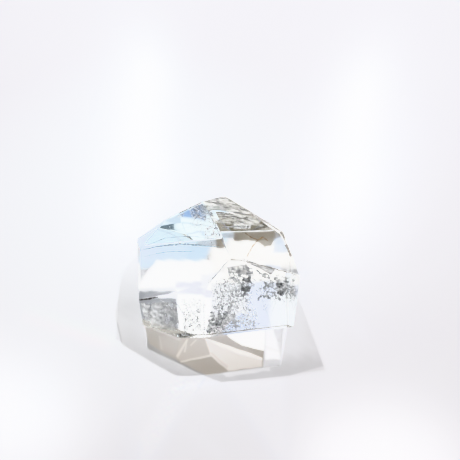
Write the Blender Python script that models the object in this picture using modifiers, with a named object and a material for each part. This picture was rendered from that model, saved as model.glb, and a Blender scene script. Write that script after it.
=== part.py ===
"""A clear quartz freeform: one stone cut with flat polished facets, standing on a flat base.

The stone is a block of rock crystal, cut by one plane for each facet and then given
slightly rounded polished edges. Metres, +Z up. The origin is at the middle of the base,
and the stone's front faces -Y.
"""
import math

import bmesh
import bpy
from mathutils import Vector

MM = 0.001

# The uncut block, and the heart of the stone, which every facet's distance is measured from.
BLOCK_SIDE = 120 * MM
HEART_HEIGHT = 13 * MM

# Polished edges are softened by this much.
EDGE_ROUNDING = 0.25 * MM
EDGE_SEGMENTS = 2

QUARTZ_IOR = 1.544
QUARTZ_TINT = (0.98, 0.985, 0.99, 1.0)
POLISH_ROUGHNESS = 0.02

# Each facet: the way it faces, in degrees round from +X towards +Y; its lean, in degrees
# above level (90 faces straight up, a minus sign faces downwards); and its distance from
# the heart of the stone in millimetres.
CROWN = {
    "left": (221.5, 62, 12.1),
    "right": (338, 76, 16.9),
    "top": (46, 70, 21.6),
    "back left shoulder": (159, 41, 24.8),
    "back left": (114, 22, 25.2),
    "back right": (53, 28, 27.3),
    "back right chamfer": (42, 48, 25.9),
    "right chamfer": (18, 41, 28.1),
    "left chamfer": (188, 19, 26.3),
}
FRONT = {
    "main front": (277, 48, 13.7),
    "left front": (244.5, 45, 14.2),
    "small front": (241, 52, 13.3),
}
WALLS = {
    "right wall": (14, 5, 29.5),
    "right foot": (0, -10, 29.4),
    "left wall": (188, -3, 28.3),
    "back wall": (94, -10, 22.0),
    "front undercut": (277, -33, 21.6),
    "left undercut": (254, -44, 22.6),
}


def facing(turn, lean):
    """The direction that a facet faces, from its turn and its lean in degrees."""
    turn = math.radians(turn)
    lean = math.radians(lean)
    return Vector((math.cos(lean) * math.cos(turn), math.cos(lean) * math.sin(turn), math.sin(lean)))


def cut(mesh, point, normal):
    """Cut away what lies past a plane, and close the cut with one flat facet."""
    everything = mesh.verts[:] + mesh.edges[:] + mesh.faces[:]
    result = bmesh.ops.bisect_plane(mesh, geom=everything, plane_co=point, plane_no=normal, clear_outer=True)
    rim = [item for item in result["geom_cut"] if isinstance(item, bmesh.types.BMEdge)]
    bmesh.ops.contextual_create(mesh, geom=rim)


def stand_on_origin(mesh):
    """Move the stone so that the middle of its box is over the origin, with its base at zero."""
    low = Vector(min(vertex.co[axis] for vertex in mesh.verts) for axis in range(3))
    high = Vector(max(vertex.co[axis] for vertex in mesh.verts) for axis in range(3))
    middle = (low + high) / 2
    bmesh.ops.translate(mesh, verts=mesh.verts, vec=(-middle.x, -middle.y, -low.z))


def clear_quartz():
    """Rock crystal: colourless, see-through and glossy."""
    material = bpy.data.materials.new("clear_quartz")
    material.use_nodes = True
    surface = material.node_tree.nodes["Principled BSDF"]
    surface.inputs["Base Color"].default_value = QUARTZ_TINT
    surface.inputs["Roughness"].default_value = POLISH_ROUGHNESS
    surface.inputs["IOR"].default_value = QUARTZ_IOR
    surface.inputs["Transmission Weight"].default_value = 1.0
    return material


def quartz_freeform(collection):
    """The stone itself, cut from a block and finished with rounded edges."""
    mesh = bmesh.new()
    bmesh.ops.create_cube(mesh, size=BLOCK_SIDE)
    heart = Vector((0, 0, HEART_HEIGHT))
    for turn, lean, distance in [*CROWN.values(), *FRONT.values(), *WALLS.values()]:
        normal = facing(turn, lean)
        cut(mesh, heart + normal * distance * MM, normal)
    cut(mesh, Vector((0, 0, 0)), Vector((0, 0, -1)))
    stand_on_origin(mesh)
    bmesh.ops.recalc_face_normals(mesh, faces=mesh.faces)

    data = bpy.data.meshes.new("quartz_freeform")
    mesh.to_mesh(data)
    mesh.free()
    data.materials.append(clear_quartz())
    stone = bpy.data.objects.new("quartz_freeform", data)
    collection.objects.link(stone)

    rounding = stone.modifiers.new("polished edges", "BEVEL")
    rounding.width = EDGE_ROUNDING
    rounding.segments = EDGE_SEGMENTS
    rounding.limit_method = "NONE"
    return stone


def main():
    for old in list(bpy.data.objects):
        bpy.data.objects.remove(old, do_unlink=True)
    parts = bpy.data.collections.new("clear_quartz_freeform")
    bpy.context.scene.collection.children.link(parts)
    quartz_freeform(parts)


main()
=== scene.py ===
import math
import random

import bpy
import bmesh
import numpy as np
from mathutils import Matrix, Vector, noise


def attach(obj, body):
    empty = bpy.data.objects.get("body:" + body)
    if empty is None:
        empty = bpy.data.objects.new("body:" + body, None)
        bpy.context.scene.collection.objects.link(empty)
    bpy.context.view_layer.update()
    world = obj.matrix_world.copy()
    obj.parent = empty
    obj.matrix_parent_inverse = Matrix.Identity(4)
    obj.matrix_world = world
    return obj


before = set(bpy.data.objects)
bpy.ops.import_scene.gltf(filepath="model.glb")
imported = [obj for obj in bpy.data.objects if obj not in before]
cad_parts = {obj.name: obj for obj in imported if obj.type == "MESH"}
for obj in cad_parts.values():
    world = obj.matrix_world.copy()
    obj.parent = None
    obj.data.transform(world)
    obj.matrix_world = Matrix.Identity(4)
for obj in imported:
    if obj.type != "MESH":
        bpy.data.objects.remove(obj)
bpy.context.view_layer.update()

MM = 0.001
STONE = "quartz_freeform"
BODY = "root"
QUARTZ_IOR = 1.544
# Quartz bends blue a little more than red: what is added to the IOR for red, green and blue.
COLOUR_SPREAD = (-0.003, 0.0, 0.006)

# The camera looks down at a point on the table behind the stone's middle. Lengths are in millimetres.
AIM = np.array((6.25, 27.5, 0.0))
PITCH = math.radians(56.6)
CAMERA_DISTANCE = 200.0
FRAME_SIDE = 460.0
FOCAL = 459.0
SENSOR_WIDTH = 36.0
NEAREST_SEEN = 0.001

# Lamps: place over the aim point in mm, colour, and share of the table's brightness.
BACK_LAMPS = {
    "back_right_lamp": ((198, 372, 402), (0.97, 1, 1.08), 0.42),
    "back_left_lamp": ((-116, 342, 340), (0.97, 1, 1.08), 0.32),
}
SIDE_LAMPS = {
    "left_lamp": ((-226, 9, 370), (0.9, 0.97, 1.08), 0.03),
    "right_lamp": ((166, -32, 370), (1, 1, 1), 0.03),
}
LAMP_SIDE = 12.0
# How much more of a lamp's light the facets gather on what lies inside the stone.
GATHERED_LIGHT = 1.35
# Glows on the table's polish, from strips that are seen only in reflections:
# low end and high end over the aim point in mm, width in mm, colour, and share.
GLOW_STRIPS = {
    "back_right_glow": ((168, 372, 250), (206, 372, 480), 22, (1, 1, 1.06), 0.85),
    "back_left_glow": ((-94, 342, 200), (-172, 342, 430), 30, (0.98, 1, 1.06), 1.1),
    "left_glow": ((-275, 9, 330), (-275, 9, 450), 40, (0.99, 0.99, 1.03), 0.45),
    "right_glow": ((160, -50, 330), (160, -50, 430), 40, (1, 0.98, 1.02), 0.34),
}

# The room's tone against the height that a ray looks up to: 0 level, 1 straight up.
ROOM_TONES = (
    (0, (0.8, 0.79, 0.77, 1)),
    (0.2, (0.62, 0.61, 0.585, 1)),
    (0.42, (0.46, 0.442, 0.41, 1)),
    (0.72, (0.34, 0.322, 0.285, 1)),
    (1, (0.3, 0.283, 0.25, 1)),
)
# Cards in the room, seen only through the stone: azimuths of the left and right edge, elevations of the
# low and high edge, and the edges' blur, all in degrees, and the colour. Later cards cover earlier ones.
ROOM_CARDS = {
    "pale_blue_wall": ((-88, -46, 24, 42, 1.5), (4.2, 4.9, 5.2)),
    "brown_notch": ((-80, -72.8, 24, 31, 0.8), (0.4, 0.375, 0.32)),
    "blue_band": ((-90, -72.5, 31.2, 36.6, 0.3), (0.4, 0.6, 0.94)),
    "pale_blue_end": ((-73, -66, 30, 35.8, 0.5), (0.66, 0.82, 0.98)),
    "bright_blue_patch": ((-69, -57, 29, 34, 0.8), (0.9, 1.1, 1.3)),
    "dark_blue_patch": ((-69, -60.3, 24, 30.6, 0.5), (0.2, 0.28, 0.34)),
    "low_blue_wall": ((-61, -48, 3, 16, 1.5), (2.1, 2.7, 3.1)),
    "pale_line": ((-90, -66, 37.2, 37.45, 0.12), (0.9, 1.1, 1.3)),
    "pale_line_above": ((-90, -66, 38.2, 38.4, 0.12), (1.1, 1.3, 1.55)),
    "pale_line_beside": ((-66, -46, 8, 9, 0.3), (1, 1.25, 1.5)),
    "olive_wall": ((-102, -84, 42, 50, 1.2), (0.3, 0.28, 0.225)),
    "grey_line": ((-102, -84, 43.6, 43.9, 0.12), (0.5, 0.5, 0.48)),
    "olive_line": ((-102, -84, 44.7, 45.6, 0.4), (0.24, 0.22, 0.17)),
    "low_olive_wall": ((-114, -88, 2, 20, 2), (0.38, 0.36, 0.3)),
    "grey_wall_behind": ((44, 70, 20, 40, 3), (0.6, 0.58, 0.54)),
}
SIDE_BLUR = 1.5

# The board: its top lies just under the stone. Its tone is painted brightest at one place, as a pool
# of light, and painted darker away from it.
TABLE_DROP = 0.1
TABLE_REACH = 1500.0
TABLE_ALBEDO = 0.80
LIT_TABLE = (0.92, 0.92, 0.92)
SHADED_TABLE = (0.64, 0.62, 0.625)
LIGHT_POOL_MIDDLE = (-30.0, 45.0, 0.0)
BRIGHT_SHARE = 0.3
TONE_REACH = 120.0
# The far table pales into the room by painted light: where that starts and ends, in mm, and how much
# light it adds.
FAR_PAINTED_GLOW = (230.0, 900.0, 0.5)

# The part of the table that carries the stone's light, in mm: x from, x to, y from, y to. Its cells.
LIGHT_AREA = (-75.0, 100.0, -95.0, 75.0)
LIGHT_CELL = 0.35
# Where the stone changes nothing: no added light, and the board's full tone.
OPEN_TABLE = (0, 0, 0, 1)
# The rays: the middle and half the side of the square that they cover, their spacing, how many go at a
# time, and how often they bounce. The plastic number spreads them evenly.
STONE_MIDDLE = (0.0, 0.0, 12.0)
STONE_REACH = 44.0
RAY_SPACING = 0.10
RAY_CHUNK = 120000
MAX_BOUNCES = 6
RAY_SEED = 5
FAINTEST_RAY = 0.004
PARALLEL = 1e-9
JUST_AHEAD = 1e-6
PLASTIC_NUMBER = 1.32471795724474602596
# Planes within this cosine and this distance in mm are one facet. Bevels are left out by area.
SAME_TURN = 0.9999
SAME_DISTANCE = 0.03
SMALLEST_FACET = 12.0
# Blur of the traced light in cells: where it is bright, and where it is fainter than about this share.
SHARP_BLUR = 1.1
FAINT_BLUR = 5.0
FAINT_SHARE = 0.25

# The stone's flat base on the table, in mm: patches of light under the stone end at its rim.
BASE_OUTLINE = ((-30.4, 17.4), (26.4, 21.3), (27.6, 16.6), (27.6, -14.1), (-5.3, -18.1), (-26.2, -12.1))
# Painted patches of light and shade under the stone: outline on the table in mm, softness of the edge
# in mm, colour, share of the mix. A fourth number in the colour is the share of the board's tone that
# is left, which paints shade.
UNDER_PATCHES = {
    "rear_left_blue": (((-34, 8), (0, 8), (2, 15), (8, 25), (-34, 25)), 3, (0.78, 1.06, 1.35), 0.95),
    "rear_left_glow": (((-34, 10), (-20, 11), (-20, 18), (-34, 18)), 4, (0.9, 1.08, 1.36), 0.8),
    "rear_middle_blue": (((-8, 11), (0, 11), (2, 17), (-8, 17.5)), 2.5, (0.6, 0.92, 1.22), 0.75),
    "rear_rim_grey": (((-4, 16.8), (10, 16.2), (10, 21), (-3, 21)), 1.3, (0.2, 0.25, 0.3, 0.75), 0.85),
    "middle_white_left": (((-28, -1), (3, -1), (4, 10), (-20, 11)), 2.2, (2.1, 2.1, 2.1), 0.98),
    "middle_white_right": (((3, 5), (30, 5), (30, 16.5), (3, 15.8)), 4, (1.8, 1.78, 1.74), 0.98),
    # Painted shade under the rear rim, with a little brown painted light.
    "rear_brown_shade": (((5, 15.8), (22, 16.6), (22, 26), (5, 26)), 1.6, (0.13, 0.09, 0.03, 0.4), 0.98),
    "brown_shade_tip": (((12, 18), (17.5, 13.2), (20.5, 14), (22, 18)), 1.2, (0.13, 0.09, 0.03, 0.4), 0.97),
    "rear_right_blue": (((21, 11), (40, 12), (40, 20), (22, 17.5)), 2.2, (0.5, 0.64, 0.85), 0.85),
    "middle_grey_streak": (((-12, -1), (1, -2), (1, 1.5), (-12, 1)), 1.5, (0.34, 0.37, 0.52), 0.85),
    "front_left_dark": (((-34, -18), (-12, -18), (-12, -2.5), (-34, -2.5)), 1.2, (0.1, 0.11, 0.14, 0.4),
        0.97),
    "front_white_strip": (((-11.5, -20), (-1.5, -20), (-1.5, -2), (-11.5, -2)), 0.8, (2.6, 2.6, 2.6), 0.97),
    "centre_white": (((-1.5, -10), (12, -10), (12, 4.5), (-1.5, 4.5)), 1.5, (1.15, 1.18, 1.26), 0.9),
    "front_grey": (((-1.5, -20), (8, -20), (8, -9), (-1.5, -10)), 0.8, (0.38, 0.36, 0.38, 0.95), 0.97),
    "front_blue": (((0.5, -20), (14, -20), (17, -10), (9, -9)), 0.8, (0.54, 0.66, 0.92, 0.95), 0.95),
    "front_blue_dark": (((11, -20), (15.8, -20), (15.8, -10), (14, -10)), 1.2, (0.02, 0.06, 0.16, 0.5),
        0.9),
    "front_right_blue": (((12, -20), (23, -20), (23, 5), (12, 5)), 2.5, (1.1, 1.22, 1.52), 0.9),
    "front_right_white": (((21, -20), (36, -20), (36, 1), (21, -2)), 3, (1.9, 2, 2.1), 0.95),
}
# The two shadows' outlines, in image places. The patches before the stone stay inside them.
SHADOW_OUTLINES = (
    ((139, 255), (130, 262), (120.5, 273), (118.5, 290), (116, 339), (160, 367.5), (176.5, 376.5),
     (205, 375.5)),
    ((150, 315), (299, 300), (310, 328), (323.5, 366), (290, 375.5), (250, 380), (221, 382.5), (204, 376),
     (165, 355)),
)
# Patches of light and shade before the stone: outline in image places, and the rest as above.
FRONT_PATCHES = {
    "left_shade": (((100, 240), (142, 240), (154, 350), (154, 400), (100, 400)), 3, (0, 0, 0, 0.9), 0.95),
    "left_rear_shade": (((100, 240), (142, 240), (146, 314), (100, 314)), 10, (0, 0, 0, 0.77), 0.95),
    "left_corner_shade": (((115.2, 341.5), (115.6, 313), (122.3, 343.3)), 0.5, (0, 0, 0, 0.7), 0.95),
    "left_low_shade": (((100, 350), (150, 344), (215, 372), (215, 400), (100, 400)), 12, (0, 0, 0, 0.84),
        0.9),
    "right_shade": (((281, 320), (300, 290), (336, 300), (340, 400), (270, 400)),
        2, (0.02, 0.02, 0.02, 0.96), 0.9),
    "far_shade": (((196, 378), (272, 361), (340, 354), (340, 400), (196, 400)), 8, (0, 0, 0, 0.8), 0.95),
    "right_faint_light": (((286, 326), (300, 318), (310, 345), (286, 350)), 9, (0.06, 0.06, 0.07), 0.9),
    # Painted shade where the two shadows overlap, with a little brown painted light.
    "brown_double_shadow": (((143, 322), (150, 347), (180, 362), (204, 376), (228, 372), (263, 367), (266, 350),
        (264, 328), (200, 325)), 0.7, (0.09, 0.06, 0.02, 0.86), 0.95),
    "left_brown_light": (((160, 334), (181, 337), (176, 358), (160, 350)), 2.5, (0.17, 0.14, 0.11), 0.9),
    "middle_brown_light": (((180, 337), (206, 337), (209, 355), (181, 361), (176, 358)),
        1, (0.2, 0.16, 0.12), 0.9),
    "light_band": (((205, 339), (212, 341), (262, 360), (262, 367), (228, 371), (210, 355)),
        0.6, (0.5, 0.46, 0.43), 0.95),
    "light_band_bright": (((205, 339), (213, 340.5), (262, 357.5), (262, 360), (230, 351)),
        0.6, (0.8, 0.76, 0.72), 0.95),
    "white_wedge": (((226, 334), (266, 328), (266, 351), (242, 345)), 0.7, (1.7, 1.7, 1.7, 1), 0.95),
    "right_grey_strip": (((265, 326), (288, 325), (280.5, 365), (263, 368)), 0.7, (0.38, 0.39, 0.42, 1),
        0.95),
    "right_white_strip": (((266, 326), (272, 326), (279, 350), (280, 358), (266, 359)),
        1.2, (1.5, 1.5, 1.55), 0.95),
    "right_grey_line": (((266, 345), (281, 351), (281, 353), (266, 349)), 0.6, (0.5, 0.5, 0.5), 0.6),
    "long_ray": (((176, 356), (178, 358), (188, 340), (186, 340)), 0.7, (0.42, 0.38, 0.33), 0.9),
    "short_ray": (((184, 352), (185.5, 352), (187.5, 339), (186.5, 339)), 0.5, (0.45, 0.41, 0.36), 0.9),
    "thin_ray": (((190, 345), (191, 346), (197, 340), (196, 339)), 0.5, (0.4, 0.36, 0.31), 0.8),
    "left_long_ray": (((146, 325), (147, 327), (180, 341), (180, 339)), 0.5, (0.3, 0.28, 0.25), 0.8),
    "left_short_ray": (((159, 336), (160, 336), (163, 350), (161, 349)), 0.5, (0.26, 0.24, 0.21), 0.8),
    "low_ray": (((180, 361), (181, 362.5), (211, 356.5), (210, 354.5)), 0.5, (0.42, 0.38, 0.33), 0.9),
    "low_right_ray": (((210, 353), (212, 353), (228, 366), (227, 369)), 0.6, (0.32, 0.29, 0.26), 0.8),
    "far_rim_light": (((222, 373), (270, 366.5), (270, 370.5), (226, 377)), 0.9, (0.2, 0.2, 0.2), 0.8),
}
RIM_SOFTNESS = 0.8
FULL_WAVER = 3

# Middles of bubbles and of cracks' cells keep this far from the faces, in mm. Hairlines aren't held to it.
FACE_MARGIN = 0.35
# Every place inside keeps this far, along its line of sight, from the face where that line ends.
SIGHT_MARGIN = 0.5
# Healed cracks: corners (image x, image y, mm behind the face), bubbles, size in mm, seed, and how thin
# the cloud may get before it has a hole.
BUBBLE_SHEETS = {
    "healed_crack_main": (((208, 280, 8), (248, 262, 8), (258, 316, 14), (212, 334, 12)),
        5200, 0.22, 1, -0.16),
    "healed_crack_left": (((181, 298, 7), (202, 300, 7), (203, 335, 9), (182, 335, 9)),
        1500, 0.22, 2, -0.12),
    "healed_crack_low": (((222, 320, 6), (258, 316, 6), (261, 331, 4), (212, 335, 4)), 500, 0.26, 3, -0.05),
    "healed_crack_right": (((258, 270, 12), (297, 276, 12), (290, 310, 14), (258, 312, 16)),
        900, 0.2, 11, -0.05),
    "scattered_bubbles": (((150, 225, 10), (215, 215, 14), (225, 262, 18), (150, 285, 14)),
        40, 0.24, 12, -1),
}
# Their bubbles: rows run across one direction and wander, clouds leave gaps, and the rim thins out.
ROW_WAY = Vector((0.8, 0.5, 0.4))
ROW_PITCH = 4.95
ROW_WANDER, WANDER_SCALE = 1.5, 0.35
CLOUD_SCALE, CLOUD_LIFT = 0.28, 0.25
RIM_STEEPNESS, RIM_LEAST = 6, 0.25
BETWEEN_ROWS = 0.35
SHEET_SWELL, SWELL_SCALE, SHEET_SCATTER = 1.5, 0.2, 0.12
TRIES_PER_BUBBLE = 30
SIZE_SPREAD = 0.45
BUBBLE_TILT = 0.35
BUBBLE_STRETCH = (0.6, 1.5)
BUBBLE_FLATNESS = 0.25
# Looks of the open cracks, veils and sheets of painted shade: dark tone, pale tone, how much of the face
# is covered, the noise's scale and stretch, how far the face hides what is behind it, and whether it shines.
CRACK_LOOKS = {
    "silvery_crack": ((0.34, 0.35, 0.37), (0.96, 0.97, 0.99), 0.5, 1300, (1, 1, 1), 1, True),
    "smoky_crack": ((0.12, 0.12, 0.13), (0.66, 0.67, 0.69), 0.6, 1200, (1, 1, 1), 1, True),
    "milky_crack": ((0.42, 0.43, 0.45), (0.97, 0.97, 0.98), 0.45, 2400, (1, 1, 1), 0.75, True),
    "grey_veil": ((0.52, 0.52, 0.53), (0.8, 0.8, 0.81), 1.6, 160, (1, 1, 1), 0.55, False),
    "shadowy_veil": ((0.1, 0.1, 0.1), (0.42, 0.42, 0.42), 1.6, 500, (1, 1, 1), 0.66, False),
    "cloudy_veil": ((0.5, 0.5, 0.51), (0.97, 0.97, 0.98), 0.75, 520, (1, 1, 1), 0.62, False),
    # The striped and combed looks paint shade on sheets under the top faces.
    "striped_painted_shade": ((0.05, 0.048, 0.044), (0.46, 0.45, 0.43), 1.6, 260, (0.4, 2.6, 2.6), 0.85, False),
    "combed_painted_shade": ((0.1, 0.095, 0.085), (0.62, 0.61, 0.58), 1.3, 420, (0.4, 2.6, 2.6), 0.6, False),
}
# Open cracks, veils and sheets of painted shade: corners as above, cells along a side, ripple in mm, seed,
# waves in mm, and look.
CRACK_FACES = {
    "crack_upper": (((224, 262, 9), (252, 263, 9), (258, 288, 12), (226, 280, 12)),
        30, 0.5, 4, 0, "silvery_crack"),
    "crack_right": (((256, 270, 8), (298, 276, 7), (297, 302, 10), (256, 302, 12)),
        34, 0.6, 5, 0.1, "silvery_crack"),
    "dark_shard_middle": (((240, 278, 7), (252, 277, 7), (251, 297, 9), (241, 297, 9)),
        16, 0.4, 6, 0, "smoky_crack"),
    "dark_shard_right": (((275, 280, 6), (289, 280, 6), (285, 297, 8), (277, 295, 8)),
        16, 0.4, 7, 0, "smoky_crack"),
    "crack_low_left": (((203, 311, 7), (232, 311, 7), (221, 325, 6), (203, 337, 6)),
        26, 0.5, 8, 0, "smoky_crack"),
    # Sheets of painted shade, in stripes, under the top faces.
    "painted_shade_top": (((204, 201, 1.5), (226, 197, 1.5), (254, 214, 1.5), (208, 211, 1.5)),
        24, 0.05, 18, 0, "striped_painted_shade"),
    "painted_shade_streaks": (((209, 213, 3), (254, 216, 3), (264, 226, 3), (217, 224, 3)),
        24, 0.05, 20, 0, "combed_painted_shade"),
    "milky_plane_main": (((206, 285, 15), (247, 261, 15), (262, 330, 17), (205, 335, 15)),
        40, 0.8, 13, 0, "milky_crack"),
    "milky_plane_left": (((181, 297, 12), (203, 300, 12), (204, 336, 10), (182, 336, 10)),
        30, 0.6, 14, 0, "milky_crack"),
    "grey_triangle": (((246, 260.5, 2.5), (276, 268, 2.5), (271, 275, 3), (260, 269, 3)),
        14, 0.05, 16, 0, "shadowy_veil"),
    "cloudy_veil": (((141, 303, 5), (176, 302, 5), (181, 332, 5), (146, 326, 5)),
        24, 0.3, 19, 0, "cloudy_veil"),
    "grey_cap": (((224, 265, 5), (247, 264, 5), (253, 276, 6), (229, 272, 6)), 20, 0.2, 17, 0, "grey_veil"),
}
# Their ripples and waves, with noise per mm. An open crack is gnawed at its rim, and a veil or a sheet of
# painted shade is whole.
RIPPLE_SCALE = 0.9
WAVE_PITCH, WAVE_WANDER = 6.0, 0.5
GNAW_REACH, GNAW_SCALE, GNAW_DEPTH = 5, 0.8, 1.2
RAGGED_RIM = 0.3
WHOLE_RIM = -1.0
# Colours of hairlines and of painted lines, and how far noise darkens them.
LINE_COLOURS = {
    "bright": (0.98, 0.98, 0.99),
    "brown": (0.34, 0.24, 0.14),
    "grey": (0.4, 0.42, 0.46),
    "blue": (0.7, 0.84, 0.97),
    "taupe": (0.36, 0.33, 0.3),
    "dark": (0.13, 0.12, 0.11),
}
LINE_SHADE = 0.6
# A hairline's steps and its shake in mm, how its width varies, and how bluntly it ends.
LINE_STEP, LINE_SHAKE = 0.6, 0.05
LINE_WIDTHS = (0.5, 1.4)
LINE_TAPER = 0.4
# Hairlines and streaks: places along them as above, width in mm, seed, and colour. Many of them are
# painted lines of highlight, shade and reflection, as marked below.
HAIRLINES_AND_PAINTED_LINES = {
    # Painted highlight.
    "flash_line": (((222, 227.5, 4), (233, 226.5, 4), (246, 227.5, 4)), 0.55, 21, "bright"),
    "brown_line_v": (((245, 233, 6), (251, 237, 6), (258, 240, 6), (252, 247, 6), (247, 257, 6)),
        0.45, 22, "brown"),
    "brown_line_w": (((258, 240, 5), (263, 237, 5), (268, 241, 5)), 0.5, 45, "brown"),
    "arc_d": (((144, 302, 4), (146, 312, 4), (152, 322, 4)), 0.25, 46, "bright"),
    "arc_e": (((151, 302, 4), (150, 312, 4), (154, 325, 4)), 0.5, 47, "grey"),
    "arc_f": (((170, 300, 4), (178, 305, 4), (183, 314, 4)), 0.5, 48, "grey"),
    "arc_g": (((160, 300, 5), (168, 304, 5), (175, 312, 5), (179, 322, 5)), 0.3, 49, "bright"),
    "arc_h": (((157, 312, 5), (163, 322, 5), (172, 330, 5)), 0.3, 50, "grey"),
    "hairline_left_face": (((160, 236, 8), (180, 229, 8), (206, 223, 8)), 0.16, 23, "grey"),
    "hairline_diagonal": (((232, 313, 6), (220, 324, 6), (206, 336, 5)), 0.25, 24, "bright"),
    "hairline_triangle": (((249, 261, 4), (262, 265, 4), (275, 269, 4)), 0.25, 25, "grey"),
    # Painted highlight.
    "spark": (((155.5, 319, 5), (156.5, 323, 5)), 0.6, 26, "bright"),
    "arc_a": (((148, 306, 6), (158, 303, 6), (168, 306, 6), (176, 313, 6)), 0.2, 27, "bright"),
    "arc_b": (((160, 303, 6), (170, 310, 6), (178, 320, 6), (180, 330, 6)), 0.18, 28, "grey"),
    "arc_c": (((165, 310, 6), (172, 314, 6), (179, 319, 6)), 0.22, 29, "bright"),
    # The streaks paint shade and light seen through the top faces.
    "streak_a": (((206, 202, 2), (221, 203, 2), (236, 206.5, 2), (246, 211, 2)), 0.5, 31, "grey"),
    "streak_b": (((210, 205, 2), (216, 206.5, 2), (222, 207, 2)), 0.4, 32, "bright"),
    "streak_c": (((224, 206, 2), (233, 208, 2), (242, 212, 2)), 0.35, 33, "dark"),
    "streak_d": (((209, 210.5, 3), (224, 210.5, 3), (240, 213, 3), (250, 216, 3)), 0.5, 34, "grey"),
    "streak_e": (((211, 214.5, 3), (218, 213.5, 3), (227, 213, 3)), 0.3, 35, "bright"),
    "streak_f": (((214, 218, 3), (222, 216, 3), (236, 217, 3), (252, 221, 3)), 0.35, 36, "dark"),
    "streak_g": (((215, 218, 3), (219, 223, 3)), 0.5, 37, "bright"),
    "streak_h": (((223, 222, 3), (229, 223, 3), (236, 225, 3)), 0.22, 38, "bright"),
    "streak_i": (((208, 199.5, 1), (222, 198, 1), (232, 200.5, 1)), 0.35, 39, "grey"),
    "streak_j": (((226, 203, 1.5), (238, 205, 1.5), (250, 212, 1.5)), 0.3, 40, "dark"),
    # The strips paint shade along the narrow edge faces.
    "strip_right_a": (((256, 215, 1), (270, 223, 1), (282, 234, 1)), 1.1, 41, "taupe"),
    "strip_right_b": (((282, 235, 1), (287, 245, 1), (291, 257, 1)), 1.2, 42, "taupe"),
    "strip_top_a": (((204, 201.5, 0.8), (214, 198.5, 0.8), (226, 197.5, 0.8)), 0.4, 51, "taupe"),
    "strip_top_b": (((226, 197.5, 0.8), (240, 206, 0.8), (256, 215.5, 0.8)), 0.55, 52, "taupe"),
    "ray_a": (((268, 274, 5), (276, 279, 5), (290, 281, 5)), 0.3, 61, "bright"),
    "ray_b": (((283, 283, 5), (278, 296, 5), (272, 312, 6)), 0.22, 62, "bright"),
    "ray_c": (((276, 281, 5), (266, 290, 5), (257, 303, 6)), 0.2, 63, "grey"),
    "ray_d": (((285, 287, 5), (291, 297, 5), (293, 310, 5)), 0.2, 64, "grey"),
    "ray_e": (((248, 283, 5), (258, 291, 5), (272, 297, 6)), 0.2, 65, "bright"),
    "ray_f": (((236, 276, 5), (246, 290, 5), (252, 306, 6)), 0.2, 66, "grey"),
    "ray_g": (((262, 300, 6), (268, 315, 6), (271, 328, 6)), 0.18, 67, "bright"),
    "ray_h": (((255, 268, 4), (264, 276, 4), (276, 283, 5)), 0.35, 68, "bright"),
    "ray_i": (((214, 292, 5), (226, 301, 5), (240, 306, 6)), 0.18, 69, "bright"),
    "ray_j": (((222, 283, 5), (231, 292, 5), (236, 304, 6)), 0.18, 70, "grey"),
    # The ridges paint shade along the facet edges.
    "ridge_left": (((208, 212, 0.6), (219, 234, 0.6), (230, 255, 0.6)), 0.42, 71, "grey"),
    "ridge_right": (((233, 258.5, 0.6), (265, 266.5, 0.6), (297, 275, 0.6)), 0.3, 72, "taupe"),
    "ridge_low": (((229, 260, 0.6), (219, 271, 0.6), (210, 282, 0.6)), 0.34, 73, "grey"),
    "ridge_corner": (((203.5, 301, 0.6), (204, 318, 0.6), (204.5, 335, 0.6)), 0.22, 74, "grey"),
    # The bands paint the blue reflection seen in the left face.
    "band_a": (((143, 243, 5), (165, 238, 5), (190, 236, 5), (216, 239, 5)), 0.4, 75, "blue"),
    "band_b": (((141, 250, 5), (160, 246, 5), (185, 244, 5), (219, 247, 5)), 0.7, 76, "blue"),
    "band_c": (((142, 257, 5), (165, 252, 5), (195, 251, 5)), 0.35, 77, "blue"),
    # Painted shade along the narrow left edge face.
    "strip_left": (((139, 300, 1.5), (148, 299, 1.5), (158, 297, 1.5)), 0.6, 43, "dark"),
}


def link(obj):
    bpy.context.scene.collection.objects.link(obj)
    return obj


def mesh_from_arrays(name, points, faces):
    """A mesh from points in mm and faces that all have the same number of corners."""
    mesh = bpy.data.meshes.new(name)
    mesh.vertices.add(points.size // 3)
    mesh.vertices.foreach_set("co", (points.reshape(-1) * MM).astype(np.float32))
    mesh.loops.add(faces.size)
    mesh.loops.foreach_set("vertex_index", faces.reshape(-1).astype(np.int32))
    mesh.polygons.add(len(faces))
    mesh.polygons.foreach_set("loop_start", np.arange(0, faces.size, faces.shape[1], dtype=np.int32))
    mesh.update(calc_edges=True)
    return mesh


def object_from_bmesh(name, bm):
    mesh = bpy.data.meshes.new(name)
    bm.to_mesh(mesh)
    bm.free()
    return link(bpy.data.objects.new(name, mesh))


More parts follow.
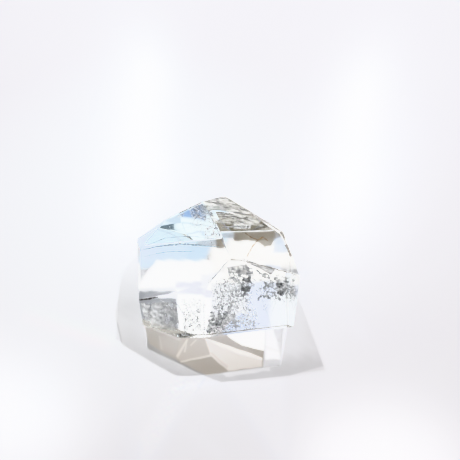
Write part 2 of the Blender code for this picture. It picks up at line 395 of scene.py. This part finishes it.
class Graph:
    """The nodes of a material or of the world, with short calls for the kinds used here."""

    def __init__(self, owner):
        owner.use_nodes = True
        self.nodes = owner.node_tree.nodes
        self.links = owner.node_tree.links

    def fill(self, node, sources):
        """Links each named input to another node's output, or sets it to a plain value."""
        for name, source in sources.items():
            if isinstance(source, bpy.types.NodeSocket):
                self.links.new(source, node.inputs[name])
            else:
                node.inputs[name].default_value = source
        return node

    def add(self, kind, sources):
        return self.fill(self.nodes.new("ShaderNode" + kind), sources)

    def math(self, operation, *sources):
        node = self.add("Math", dict(enumerate(sources)))
        node.operation = operation
        return node.outputs[0]

    def vector_math(self, operation, sources):
        node = self.add("VectorMath", {})
        node.operation = operation
        return self.fill(node, sources)

    def noise(self, place, scale, detail=2.0, roughness=0.5):
        sources = {"Vector": place, "Scale": scale, "Detail": detail, "Roughness": roughness}
        return self.add("TexNoise", sources).outputs["Fac"]

    def ramp(self, value, low, high):
        """From one colour to another. Each end is a value and its colour."""
        node = self.add("ValToRGB", {"Fac": value})
        for stop, (place, colour) in zip(node.color_ramp.elements, (low, high)):
            stop.position = place
            stop.color = (*colour, 1)
        return node

    def map_range(self, value, low, high, to_low=0.0, to_high=1.0, smooth=False):
        node = self.add("MapRange", {"Value": value, "From Min": low, "From Max": high,
                                     "To Min": to_low, "To Max": to_high})
        if smooth:
            node.interpolation_type = "SMOOTHSTEP"
        return node.outputs["Result"]


def new_material(name):
    """A node material, its graph, its shader and the object's own coordinates."""
    material = bpy.data.materials.new(name)
    graph = Graph(material)
    place = graph.add("TexCoord", {}).outputs["Object"]
    return material, graph, graph.nodes["Principled BSDF"], place


# -------- camera and lamps

def camera_axes():
    right = np.array((1.0, 0.0, 0.0))
    forward = np.array((0.0, math.cos(PITCH), -math.sin(PITCH)))
    up = np.array((0.0, math.sin(PITCH), math.cos(PITCH)))
    return AIM - forward * CAMERA_DISTANCE, right, up, forward


def line_of_sight(px, py):
    """The camera's place in mm, and the direction in which it sees that image place."""
    eye, right, up, forward = camera_axes()
    return eye, forward + right * (px - FRAME_SIDE / 2) / FOCAL - up * (py - FRAME_SIDE / 2) / FOCAL


def make_camera():
    cam = bpy.data.cameras.new("camera")
    cam.sensor_width = SENSOR_WIDTH
    cam.lens = SENSOR_WIDTH * FOCAL / FRAME_SIDE
    cam.clip_start = NEAREST_SEEN
    ob = link(bpy.data.objects.new("camera", cam))
    ob.location = Vector(camera_axes()[0]) * MM
    ob.rotation_euler = (math.pi / 2 - PITCH, 0, 0)
    bpy.context.scene.camera = ob


def lamp_power(place, share):
    """The watts with which a lamp aimed at the stone gives the table that share of brightness."""
    rel = Vector(place) * MM + Vector(AIM) * MM
    return share * 4.0 * math.pi * rel.length ** 3 / (TABLE_ALBEDO * rel.z)


def make_lamp(name, place, colour, share):
    light = bpy.data.lights.new(name, "AREA")
    light.shape = "SQUARE"
    light.size = LAMP_SIDE * MM
    light.color = colour
    light.energy = lamp_power(place, share)
    ob = link(bpy.data.objects.new(name, light))
    ob.location = (Vector(place) + Vector(AIM)) * MM
    ob.rotation_euler = (-ob.location).to_track_quat("-Z", "Y").to_euler()
    ob.visible_transmission = False
    return ob


def make_strip(name, low, high, width, colour, share):
    """A long lamp that only shows as a glow on polished things."""
    low, high = Vector(low), Vector(high)
    middle = (low + high) / 2
    ob = make_lamp(name, middle, colour, share)
    ob.data.shape = "RECTANGLE"
    ob.data.size = width * MM
    ob.data.size_y = (high - low).length * MM
    back = ob.location.normalized()
    along = (high - low - (high - low).dot(back) * back).normalized()
    ob.rotation_euler = Matrix((along.cross(back), along, back)).transposed().to_euler()
    ob.visible_diffuse = False
    return ob


def light_table_polish(table):
    """The glow strips, which light the table and nothing else."""
    group = bpy.data.collections.new("polished_table")
    group.objects.link(table)
    for name, strip in GLOW_STRIPS.items():
        make_strip(name, *strip).light_linking.receiver_collection = group


def light_inner_things(things):
    """The back lamps again for what lies inside, since a clear face stops a lamp's direct light."""
    group = bpy.data.collections.new("inside_the_stone")
    for ob in things:
        group.objects.link(ob)
    for name, (place, colour, share) in BACK_LAMPS.items():
        ob = make_lamp("inner_" + name, place, colour, share * GATHERED_LIGHT)
        ob.light_linking.receiver_collection = group
        ob.light_linking.blocker_collection = group


def set_light_paths():
    scene = bpy.context.scene
    scene.view_settings.view_transform = "Khronos PBR Neutral"
    scene.cycles.max_bounces = 24
    scene.cycles.transmission_bounces = 20
    scene.cycles.glossy_bounces = 16
    scene.cycles.caustics_reflective = False


# -------- room

def soft_band(graph, value, low, high, blur):
    """1 between two edges in degrees, falling softly to 0 beyond them."""
    above = graph.map_range(value, low - blur, low + blur, smooth=True)
    below = graph.map_range(value, high - blur, high + blur, 1.0, 0.0, smooth=True)
    return graph.math("MULTIPLY", above, below)


def soft_card(graph, angles, edges):
    """A card with soft edges, hung in the room: 1 on it and 0 off it."""
    azimuth, elevation = angles
    left, right, low, high, blur = edges
    across = soft_band(graph, azimuth, left, right, blur * SIDE_BLUR)
    upward = soft_band(graph, elevation, low, high, blur)
    return graph.math("MULTIPLY", across, upward)


def sky_angles(graph, way):
    """Azimuth and elevation, in degrees, of the direction that a ray looks in."""
    azimuth = graph.math("ARCTAN2", way.outputs["Y"], way.outputs["X"])
    elevation = graph.math("ARCSINE", way.outputs["Z"])
    return graph.math("DEGREES", azimuth), graph.math("DEGREES", elevation)


def room_tone(graph, height):
    ramp = graph.add("ValToRGB", {"Fac": height})
    stops = ramp.color_ramp.elements
    stops[0].position, stops[0].color = ROOM_TONES[0]
    stops[1].position, stops[1].color = ROOM_TONES[-1]
    for place, tone in ROOM_TONES[1:-1]:
        stop = stops.new(place)
        stop.color = tone
    return ramp.outputs["Color"]


def make_room():
    """A plain soft room. Only rays that come out of the stone see the cards hung in it."""
    world = bpy.data.worlds.new("soft_white_room")
    bpy.context.scene.world = world
    graph = Graph(world)
    way = graph.add("SeparateXYZ", {0: graph.add("TexCoord", {}).outputs["Generated"]})
    colour = room_tone(graph, way.outputs["Z"])
    angles = sky_angles(graph, way)
    through_stone = graph.add("LightPath", {}).outputs["Is Transmission Ray"]
    for edges, tint in ROOM_CARDS.values():
        mix = graph.add("Mix", {})
        mix.data_type = "RGBA"
        shown = graph.math("MULTIPLY", soft_card(graph, angles, edges), through_stone)
        graph.fill(mix, {"Factor": shown, "A": colour, "B": (*tint, 1)})
        colour = mix.outputs["Result"]
    graph.fill(graph.nodes["Background"], {"Color": colour, "Strength": 1.0})


# -------- light that the stone throws on the table

def polygon_values(mesh, name, width):
    values = np.zeros(len(mesh.polygons) * width)
    mesh.polygons.foreach_get(name, values)
    return values.reshape(-1, width)


def stone_facets(node):
    """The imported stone's polished planes: outward normals, and distances from the origin in mm."""
    normal = polygon_values(node.data, "normal", 3)
    middle = polygon_values(node.data, "center", 3) / MM
    area = polygon_values(node.data, "area", 1)[:, 0] / MM ** 2
    offset = (normal * middle).sum(1)
    groups = []
    for k in np.argsort(-area):
        for g in groups:
            if normal[k] @ g[0] > SAME_TURN and abs(offset[k] - g[1]) < SAME_DISTANCE:
                g[2] += area[k]
                break
        else:
            groups.append([normal[k], offset[k], area[k]])
    kept = [g for g in groups if g[2] > SMALLEST_FACET]
    return np.array([g[0] for g in kept]), np.array([g[1] for g in kept])


def first_facet(start, way, normals, offsets):
    """Where rays from outside enter the stone: facet, distance, and whether they hit it."""
    slope = way @ normals.T
    slope = np.where(np.abs(slope) < PARALLEL, PARALLEL, slope)
    along = (offsets - start @ normals.T) / slope
    going_in = np.where(slope < 0, along, -np.inf)
    going_out = np.where(slope > 0, along, np.inf)
    near = going_in.max(1)
    return going_in.argmax(1), near, going_out.min(1) > near


def next_facet(start, way, normals, offsets):
    """Where rays inside the stone meet its next face: facet and distance."""
    slope = way @ normals.T
    along = (offsets - start @ normals.T) / np.where(np.abs(slope) < PARALLEL, PARALLEL, slope)
    along = np.where((slope > PARALLEL) & (along > JUST_AHEAD), along, np.inf)
    return along.argmin(1), along.min(1)


def split_ray(way, normal, ratio):
    """The share that is reflected, the refracted way and the reflected way. The normal faces the ray."""
    cos_in = -(way * normal).sum(1)
    sin2 = ratio ** 2 * (1 - cos_in ** 2)
    cos_out = np.sqrt(np.maximum(1 - sin2, 0))
    across = (ratio * cos_in - cos_out) / (ratio * cos_in + cos_out)
    along = (ratio * cos_out - cos_in) / (ratio * cos_out + cos_in)
    share = np.where(sin2 >= 1, 1.0, 0.5 * (across ** 2 + along ** 2))
    bent = ratio * way + (ratio * cos_in - cos_out)[:, None] * normal
    thrown = way + 2 * cos_in[:, None] * normal
    return share, bent, thrown


class TableLight:
    """Light gathered in small square cells of the table."""

    def __init__(self):
        x0, x1, y0, y1 = LIGHT_AREA
        self.nx = int((x1 - x0) / LIGHT_CELL)
        self.ny = int((y1 - y0) / LIGHT_CELL)
        self.cells = np.zeros(self.nx * self.ny)

    def land(self, point, way, amount):
        """Shares out each ray's light among the four cells nearest to where it lands."""
        falls = way[:, 2] < -1e-6
        point, way, amount = point[falls], way[falls], amount[falls]
        spot = point + way * ((point[:, 2] + TABLE_DROP) / -way[:, 2])[:, None]
        fx = (spot[:, 0] - LIGHT_AREA[0]) / LIGHT_CELL - 0.5
        fy = (spot[:, 1] - LIGHT_AREA[2]) / LIGHT_CELL - 0.5
        ix, iy = np.floor(fx).astype(int), np.floor(fy).astype(int)
        inside = (ix >= 0) & (ix < self.nx - 1) & (iy >= 0) & (iy < self.ny - 1)
        ix, iy, amount = ix[inside], iy[inside], amount[inside]
        fx, fy = fx[inside] - ix, fy[inside] - iy
        self.drop(ix, iy, amount * ((1 - fx) * (1 - fy)))
        self.drop(ix + 1, iy, amount * (fx * (1 - fy)))
        self.drop(ix, iy + 1, amount * ((1 - fx) * fy))
        self.drop(ix + 1, iy + 1, amount * (fx * fy))

    def drop(self, ix, iy, amount):
        self.cells += np.bincount(iy * self.nx + ix, amount, len(self.cells))

    def grid(self):
        return self.cells.reshape(self.ny, self.nx) / LIGHT_CELL ** 2


def trace_inside(start, way, facet, near, flux, planes, ior, table):
    """Follows rays that enter the stone, and lands on the table what leaves it."""
    normals, offsets = planes
    point = start + way * near[:, None]
    share, bent, thrown = split_ray(way, normals[facet], 1 / ior)
    table.land(point, thrown, flux * share)
    least = FAINTEST_RAY * flux.mean() if len(flux) else 0
    way, flux = bent, flux * (1 - share)
    for _ in range(MAX_BOUNCES):
        if not len(flux):
            break
        facet, far = next_facet(point, way, normals, offsets)
        point = point + way * far[:, None]
        share, bent, thrown = split_ray(way, -normals[facet], ior)
        table.land(point, bent, flux * (1 - share))
        flux = flux * share
        alive = flux > least
        point, way, flux = point[alive], thrown[alive], flux[alive]


def facing_axes(place, middle):
    """The direction from a place to the stone's middle, and two directions square to it."""
    axis = (middle - place) / np.linalg.norm(middle - place)
    side = np.cross(axis, (0, 0, 1.0))
    side /= np.linalg.norm(side)
    return axis, side, np.cross(side, axis)


def spread_out(part, step, shake):
    """Evenly spread, slightly shaken offsets across the stone, in mm."""
    offset = ((part / step) % 1 * 2 - 1) * STONE_REACH
    return offset + shake.uniform(-0.5, 0.5, len(part)) * RAY_SPACING


def thrown_light(lamp, planes, ior):
    """How brightly a lamp lights each cell through and off the stone, against its open light on the table."""
    place = np.array(lamp) + AIM
    middle = np.array(STONE_MIDDLE)
    axis, side, rise = facing_axes(place, middle)
    count = int((2 * STONE_REACH / RAY_SPACING) ** 2)
    steps = np.arange(count)
    open_light = place[2] / np.linalg.norm(place) ** 3
    table = TableLight()
    shake = np.random.default_rng(RAY_SEED)
    for k in range(0, count, RAY_CHUNK):
        part = steps[k:k + RAY_CHUNK]
        a = spread_out(part, PLASTIC_NUMBER, shake)
        b = spread_out(part, PLASTIC_NUMBER ** 2, shake)
        way = middle + a[:, None] * side + b[:, None] * rise - place
        far = np.linalg.norm(way, axis=1)
        way /= far[:, None]
        flux = (way @ axis) / far ** 2 * RAY_SPACING ** 2 / open_light
        start = np.repeat(place[None], len(way), 0)
        facet, near, hit = first_facet(start, way, *planes)
        trace_inside(start[hit], way[hit], facet[hit], near[hit], flux[hit], planes, ior, table)
    return table.grid()


def blur(grid, cells):
    """Softens a grid by a bell curve that wide."""
    reach = int(3 * cells) + 1
    k = np.exp(-0.5 * (np.arange(-reach, reach + 1) / cells) ** 2)
    k /= k.sum()
    grid = np.apply_along_axis(lambda v: np.convolve(v, k, "same"), 0, grid)
    return np.apply_along_axis(lambda v: np.convolve(v, k, "same"), 1, grid)


def smooth_light(grid):
    """Keeps bright patterns sharp, and evens out faint light where few rays land."""
    sharp, soft = blur(grid, SHARP_BLUR), blur(grid, FAINT_BLUR)
    trust = np.clip(soft / FAINT_SHARE - 0.5, 0, 1)
    return soft + (sharp - soft) * trust


def all_thrown_light(planes):
    """The colour of the thrown light in each cell."""
    total = None
    for lamp, colour, share in list(BACK_LAMPS.values()) + list(SIDE_LAMPS.values()):
        bands = []
        for tint, spread in zip(colour, COLOUR_SPREAD):
            bands.append(smooth_light(thrown_light(lamp, planes, QUARTZ_IOR + spread)) * tint * share)
        grid = np.stack(bands, -1)
        total = grid if total is None else total + grid
    return total


# -------- painted light and shade on the table

def on_table(px, py):
    """The place on the table, in mm, that lies along the straight line of sight through that image place."""
    eye, way = line_of_sight(px, py)
    spot = eye - way * ((eye[2] + TABLE_DROP) / way[2])
    return spot[0], spot[1]


def soft_outline(xs, ys, corners, soft):
    """1 inside a convex outline on the table, falling softly to 0 across its edges."""
    corners = np.array(corners)
    middle = corners.mean(0)
    depth = np.full(xs.shape, 1e9)
    for start, end in zip(corners, np.roll(corners, -1, 0)):
        normal = np.array((end[1] - start[1], start[0] - end[0])) / np.linalg.norm(end - start)
        if normal @ (middle - start) < 0:
            normal = -normal
        depth = np.minimum(depth, (xs - start[0]) * normal[0] + (ys - start[1]) * normal[1])
    share = np.clip(0.5 + depth / soft, 0, 1)
    return share * share * (3 - 2 * share)


def cell_lines(nx, ny):
    """The middles of the table's cells in mm: the columns' x and the rows' y."""
    xs = LIGHT_AREA[0] + (np.arange(nx) + 0.5) * LIGHT_CELL
    ys = LIGHT_AREA[2] + (np.arange(ny) + 0.5) * LIGHT_CELL
    return xs, ys


def waver(xs, ys):
    """How far the edges of soft patches wander, in mm: two crossed waves."""
    return 0.35 * np.sin(0.9 * xs + 1.3 * np.sin(0.5 * ys)) + 0.25 * np.sin(1.7 * ys + xs)


def mix_patches(light, places, where, patches):
    """Mixes patches into the light where the mask lets them. Sharp patches waver less."""
    xs, ys = places
    for corners, soft, colour, amount in patches:
        wave = waver(xs, ys) * min(1.0, soft / FULL_WAVER)
        share = (soft_outline(xs + wave * 0.5, ys + wave, corners, soft) * amount * where)[..., None]
        parts = slice(0, len(colour))
        light[..., parts] = light[..., parts] * (1 - share) + np.array(colour) * share


def add_patches(light):
    """The traced light with the painted patches of light and shade, and a fourth layer for the board's
    tone that is left, which paints shade.
    """
    ny, nx = light.shape[:2]
    places = np.meshgrid(*cell_lines(nx, ny))
    under_stone = soft_outline(*places, BASE_OUTLINE, RIM_SOFTNESS)
    outlines = [[on_table(*c) for c in outline] for outline in SHADOW_OUTLINES]
    before_stone = np.maximum(*[soft_outline(*places, outline, RIM_SOFTNESS) for outline in outlines])
    fronts = [([on_table(*c) for c in corners], *rest) for corners, *rest in FRONT_PATCHES.values()]
    light = np.concatenate((light, np.ones((ny, nx, 1))), 2)
    mix_patches(light, places, before_stone, fronts)
    mix_patches(light, places, under_stone, UNDER_PATCHES.values())
    return light


# -------- table

# The board's painted pool of light: its tone by the distance from the pool's middle.
def painted_light_pool(graph, distance):
    reach = graph.math("MULTIPLY", distance, 1 / (TONE_REACH * MM))
    tone = graph.ramp(reach, (BRIGHT_SHARE, LIT_TABLE), (1.0, SHADED_TABLE))
    tone.color_ramp.interpolation = "EASE"
    return tone.outputs["Color"]


def table_material():
    """A pale satin board. The colours thrown_light of its mesh add traced and painted light, and their
    alpha scales its tone as painted shade. Its tone is a painted pool of light.
    """
    material, graph, shader, place = new_material("pale_satin_board")
    light_pool_middle = Vector(LIGHT_POOL_MIDDLE) * MM
    distance = graph.vector_math("DISTANCE", {0: place, 1: light_pool_middle}).outputs["Value"]
    # Traced and painted light in its colour, and painted shade in its alpha, which scales the board's tone.
    thrown = graph.add("Attribute", {})
    thrown.attribute_name = "thrown_light"
    start, end, most = FAR_PAINTED_GLOW
    # Painted light on the far table.
    far_glow = graph.map_range(distance, start * MM, end * MM, 0.0, most, smooth=True)
    glow = graph.vector_math("ADD", {0: thrown.outputs["Color"], 1: far_glow})
    # The painted pool of light, scaled down by the painted shade.
    tone = painted_light_pool(graph, distance)
    shaded = graph.vector_math("SCALE", {0: tone, "Scale": thrown.outputs["Alpha"]})
    graph.fill(shader, {
        "Base Color": shaded.outputs["Vector"],
        "Specular IOR Level": 0.0,
        "Coat Weight": 1.0,
        "Coat Roughness": 0.21,
        "Coat IOR": 1.8,
        "Emission Color": glow.outputs["Vector"],
        "Emission Strength": 1.0,
    })
    material.cycles.emission_sampling = "NONE"
    return material


def grid_mesh(name, xs, ys):
    """A flat mesh with a point at each crossing of the given lines."""
    points = np.zeros((len(ys), len(xs), 3))
    points[..., 0] = xs[None, :]
    points[..., 1] = ys[:, None]
    points[..., 2] = -TABLE_DROP
    index = np.arange(len(xs) * len(ys)).reshape(len(ys), len(xs))
    quads = np.stack((index[:-1, :-1], index[:-1, 1:], index[1:, 1:], index[1:, :-1]), -1)
    return mesh_from_arrays(name, points, quads.reshape(-1, 4))


def make_table(light):
    """A flat board. Fine cells under and round the stone carry the light that it throws, and the painted
    light and shade.
    """
    ny, nx = light.shape[:2]
    lines = [np.concatenate(([-TABLE_REACH], line, [TABLE_REACH])) for line in cell_lines(nx, ny)]
    mesh = grid_mesh("table", *lines)
    colours = np.empty((ny + 2, nx + 2, 4), np.float32)
    colours[...] = OPEN_TABLE
    colours[2:-2, 2:-2] = light[1:-1, 1:-1]
    layer = mesh.color_attributes.new("thrown_light", "FLOAT_COLOR", "POINT")
    layer.data.foreach_set("color", colours.reshape(-1))
    ob = link(bpy.data.objects.new("table", mesh))
    mesh.materials.append(table_material())
    return ob


# -------- stone

def quartz_material():
    """Clear quartz: see-through, polished by hand, so very faintly wavy, with slight smears."""
    material, graph, shader, place = new_material("clear_quartz")
    waves = graph.noise(place, scale=70.0, detail=1.0)
    smears = graph.noise(place, scale=160.0, detail=4.0)
    bump = graph.add("Bump", {"Strength": 0.05, "Distance": 0.0006, "Height": waves})
    tint = graph.add("VolumeAbsorption", {"Color": (0.92, 0.915, 0.89, 1), "Density": 8.0})
    graph.fill(shader, {
        "Base Color": (1, 1, 1, 1),
        "Roughness": graph.map_range(smears, low=0.52, high=0.75, to_high=0.03),
        "IOR": QUARTZ_IOR,
        "Transmission Weight": 1.0,
        "Normal": bump.outputs["Normal"],
    })
    graph.fill(graph.nodes["Material Output"], {"Volume": tint.outputs["Volume"]})
    return material


def dress_stone(node):
    material = quartz_material()
    for slot in node.material_slots:
        slot.material = material


# -------- places inside the stone

def inside(px, py, depth):
    """The point that many mm behind the polished face, along the bent line of sight through that place."""
    eye, way = line_of_sight(px, py)
    way = (way / np.linalg.norm(way))[None]
    facet, near, _ = first_facet(eye[None], way, *PLANES)
    bent = split_ray(way, PLANES[0][facet], 1 / QUARTZ_IOR)[1]
    _, far = next_facet(eye[None] + way * near[:, None], bent, *PLANES)
    depth = min(depth, far[0] - SIGHT_MARGIN)
    return Vector((eye[None] + way * near[:, None] + bent * depth)[0])


def under_face(places):
    return [inside(*place) for place in places]


def patch_point(corners, u, v):
    a, b, c, d = corners
    return (a * (1 - u) + b * u) * (1 - v) + (d * (1 - u) + c * u) * v


def patch_normal(corners):
    a, b, c, d = corners
    return (c - a).cross(d - b).normalized()


def deep_enough(point):
    return float((PLANES[0] @ np.array(point) - PLANES[1]).max()) < -FACE_MARGIN


def finish_piece(ob, material):
    """Dresses a piece, and hangs it on the stone."""
    ob.data.materials.append(material)
    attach(ob, BODY)
    return ob


# -------- healed cracks

def bubble_material():
    material, graph, shader, place = new_material("trapped_bubbles")
    spots = graph.noise(place, scale=900.0)
    tone = graph.ramp(spots, (0.36, (0.50, 0.50, 0.52)), (0.56, (0.95, 0.96, 0.97)))
    graph.fill(shader, {
        "Base Color": tone.outputs["Color"],
        "Metallic": 0.1,
        "Roughness": 0.25,
        "Alpha": 0.62,
    })
    return material


def small_ball():
    """The points and triangles of a small round ball of unit diameter."""
    bm = bmesh.new()
    bmesh.ops.create_icosphere(bm, subdivisions=1, radius=0.5)
    points = np.array([v.co for v in bm.verts])
    faces = np.array([[v.index for v in f.verts] for f in bm.faces])
    bm.free()
    return points, faces


def flat_bubble(point, normal, size, rng):
    """Where one flattened bubble lies in its crack, slightly tilted and uneven, as a matrix in mm."""
    turn = normal.to_track_quat("Z", "Y").to_matrix().to_4x4()
    axis = Vector((rng.gauss(0, 1), rng.gauss(0, 1), 0.01)).normalized()
    tilt = Matrix.Rotation(rng.gauss(0, BUBBLE_TILT), 4, axis)
    spin = Matrix.Rotation(rng.uniform(0, math.pi), 4, "Z")
    scale = Matrix.Diagonal((size * rng.uniform(*BUBBLE_STRETCH), size, size * BUBBLE_FLATNESS, 1))
    return Matrix.Translation(point) @ turn @ tilt @ spin @ scale


def mesh_of_bubbles(name, matrices):
    points, faces = small_ball()
    turns = np.array(matrices)
    all_points = np.einsum("nij,pj->npi", turns[:, :3, :3], points) + turns[:, None, :3, 3]
    all_faces = (faces[None] + np.arange(len(turns))[:, None, None] * len(points)).reshape(-1, 3)
    mesh = mesh_from_arrays(name, all_points, all_faces)
    mesh.shade_smooth()
    return link(bpy.data.objects.new(name, mesh))


def has_bubble(point, u, v, seed, clump, rng):
    """Whether a bubble forms there: in wandering rows, in clouds, and seldom at the sheet's rim."""
    wander = point.dot(ROW_WAY) + ROW_WANDER * noise.noise(point * WANDER_SCALE)
    rows = 0.5 + 0.5 * math.sin(ROW_PITCH * wander)
    cloud = noise.noise(point * CLOUD_SCALE + Vector((seed, 0, 0))) + CLOUD_LIFT
    edge = min(u, 1 - u, v, 1 - v) * RIM_STEEPNESS + RIM_LEAST
    chance = min(1, edge) * (BETWEEN_ROWS + (1 - BETWEEN_ROWS) * rows)
    return rng.random() <= chance and cloud >= clump


def healed_crack(name, corners, count, size, seed, clump):
    """A healed crack: a thin curved sheet of small flattened bubbles in rows and clumps."""
    rng = random.Random(seed)
    normal = patch_normal(corners)
    made = []
    for _ in range(count * TRIES_PER_BUBBLE):
        if len(made) == count:
            break
        u, v = rng.random(), rng.random()
        point = patch_point(corners, u, v)
        if not has_bubble(point, u, v, seed, clump, rng):
            continue
        rise = SHEET_SWELL * noise.noise(point * SWELL_SCALE) + rng.gauss(0, SHEET_SCATTER)
        point = point + normal * rise
        if deep_enough(point):
            made.append(flat_bubble(point, normal, size * rng.lognormvariate(0, SIZE_SPREAD), rng))
    return mesh_of_bubbles(name, made)


def make_bubble_sheets():
    material = bubble_material()
    return [finish_piece(healed_crack(name, under_face(places), *settings), material)
            for name, (places, *settings) in BUBBLE_SHEETS.items()]


# -------- open cracks, veils and sheets of painted shade

def crack_material(name, dark, pale, cover, scale, stretch, most, shiny):
    """A crack's face, a veil or a sheet of painted shade: noise gives its tone and lets the clear
    stone show between its patches.
    """
    material, graph, shader, place = new_material(name)
    place = graph.add("Mapping", {"Vector": place, "Scale": stretch}).outputs["Vector"]
    fine = graph.noise(place, scale, detail=5.0, roughness=0.65)
    broad = graph.noise(place, scale * 0.45, detail=6.0)
    bare, covered = 0.60 - 0.35 * cover, 0.72 - 0.25 * cover
    graph.fill(shader, {
        "Base Color": graph.ramp(fine, (0.38, dark), (0.62, pale)).outputs["Color"],
        "Metallic": 0.15 if shiny else 0.0,
        "Roughness": 0.3 if shiny else 0.6,
        "Alpha": graph.map_range(broad, bare, covered, to_high=most, smooth=True),
        "Specular IOR Level": 0.5 if shiny else 0.0,
    })
    return material


def rippled_grid(bm, corners, cells, ripple, seed, waves):
    """The points of a face that is rippled by noise and, where it has them, by regular waves."""
    normal = patch_normal(corners)
    grid = {}
    for i in range(cells + 1):
        for j in range(cells + 1):
            point = patch_point(corners, i / cells, j / cells)
            rise = noise.noise(point * RIPPLE_SCALE + Vector((seed, 3, 0))) * ripple
            far = (point - corners[0]).length + noise.noise(point * WAVE_WANDER)
            rise += waves * math.sin(WAVE_PITCH * far)
            grid[i, j] = bm.verts.new((point + normal * rise) * MM)
    return grid


def crack_face(name, corners, cells, ripple, seed, waves, ragged):
    """An open crack, a veil or a sheet of painted shade: a thin rippled face that is left out at its rim
    and near the stone's faces.
    """
    bm = bmesh.new()
    grid = rippled_grid(bm, corners, cells, ripple, seed, waves)
    for i in range(cells):
        for j in range(cells):
            u, v = (i + 0.5) / cells, (j + 0.5) / cells
            rim = min(u, 1 - u, v, 1 - v) * GNAW_REACH
            point = patch_point(corners, u, v)
            gnaw = noise.noise(point * GNAW_SCALE + Vector((0, seed, 0))) * GNAW_DEPTH
            if rim + gnaw >= ragged and deep_enough(point):
                bm.faces.new((grid[i, j], grid[i + 1, j], grid[i + 1, j + 1], grid[i, j + 1]))
    bmesh.ops.delete(bm, geom=[v for v in bm.verts if not v.link_faces], context="VERTS")
    ob = object_from_bmesh(name, bm)
    ob.data.shade_smooth()
    return ob


def make_crack_faces():
    materials = {name: crack_material(name, *look) for name, look in CRACK_LOOKS.items()}
    made = []
    for name, (places, cells, ripple, seed, waves, look) in CRACK_FACES.items():
        ragged = RAGGED_RIM if look.endswith("_crack") else WHOLE_RIM
        ob = crack_face(name, under_face(places), cells, ripple, seed, waves, ragged)
        made.append(finish_piece(ob, materials[look]))
    return made


# -------- hairlines and streaks, many of them painted highlight, shade and reflection

def line_material(name, colour):
    material, graph, shader, place = new_material(name)
    darker = [c * LINE_SHADE for c in colour]
    tone = graph.ramp(graph.noise(place, scale=1500.0), (0.35, darker), (0.65, colour))
    graph.fill(shader, {"Base Color": tone.outputs["Color"], "Roughness": 0.4})
    return material


def uneven_path(points, rng):
    """Points in short steps along the given ones, each a little off the straight line."""
    path = []
    for a, b in zip(points, points[1:]):
        steps = max(2, int((b - a).length / LINE_STEP))
        for k in range(steps):
            path.append(a.lerp(b, k / steps) + Vector([rng.gauss(0, LINE_SHAKE) for _ in range(3)]))
    path.append(points[-1])
    return path


def hairline(name, points, width, seed):
    """A narrow flat ribbon that faces the camera and tapers at its ends. It draws hairline cracks
    seen on edge, and the painted lines of highlight, shade and reflection.
    """
    rng = random.Random(seed)
    path = uneven_path(points, rng)
    eye = Vector(camera_axes()[0])
    bm = bmesh.new()
    rows = []
    for k, point in enumerate(path):
        ahead = path[min(k + 1, len(path) - 1)] - path[max(k - 1, 0)]
        side = ahead.cross(eye - point).normalized()
        taper = math.sin(math.pi * (k + 0.6) / (len(path) + 0.2)) ** LINE_TAPER
        half = width * 0.5 * rng.uniform(*LINE_WIDTHS) * taper
        rows.append([bm.verts.new((point + side * turn * half) * MM) for turn in (-1, 1)])
    for (a, b), (c, d) in zip(rows, rows[1:]):
        bm.faces.new((a, c, d, b))
    return object_from_bmesh(name, bm)


def make_hairlines_and_painted_lines():
    # The same materials serve the hairlines and the painted lines.
    materials = {name: line_material(name + "_hairline", colour) for name, colour in LINE_COLOURS.items()}
    return [finish_piece(hairline(name, under_face(places), width, seed), materials[colour])
            for name, (places, width, seed, colour) in HAIRLINES_AND_PAINTED_LINES.items()]


make_camera()
make_room()
set_light_paths()
for name, (place, colour, share) in {**BACK_LAMPS, **SIDE_LAMPS}.items():
    make_lamp(name, place, colour, share)
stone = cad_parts[STONE]
# The stone's polished planes, which the functions for places inside it read.
PLANES = stone_facets(stone)
table = make_table(add_patches(all_thrown_light(PLANES)))
light_table_polish(table)
dress_stone(stone)
light_inner_things(make_bubble_sheets() + make_crack_faces() + make_hairlines_and_painted_lines())
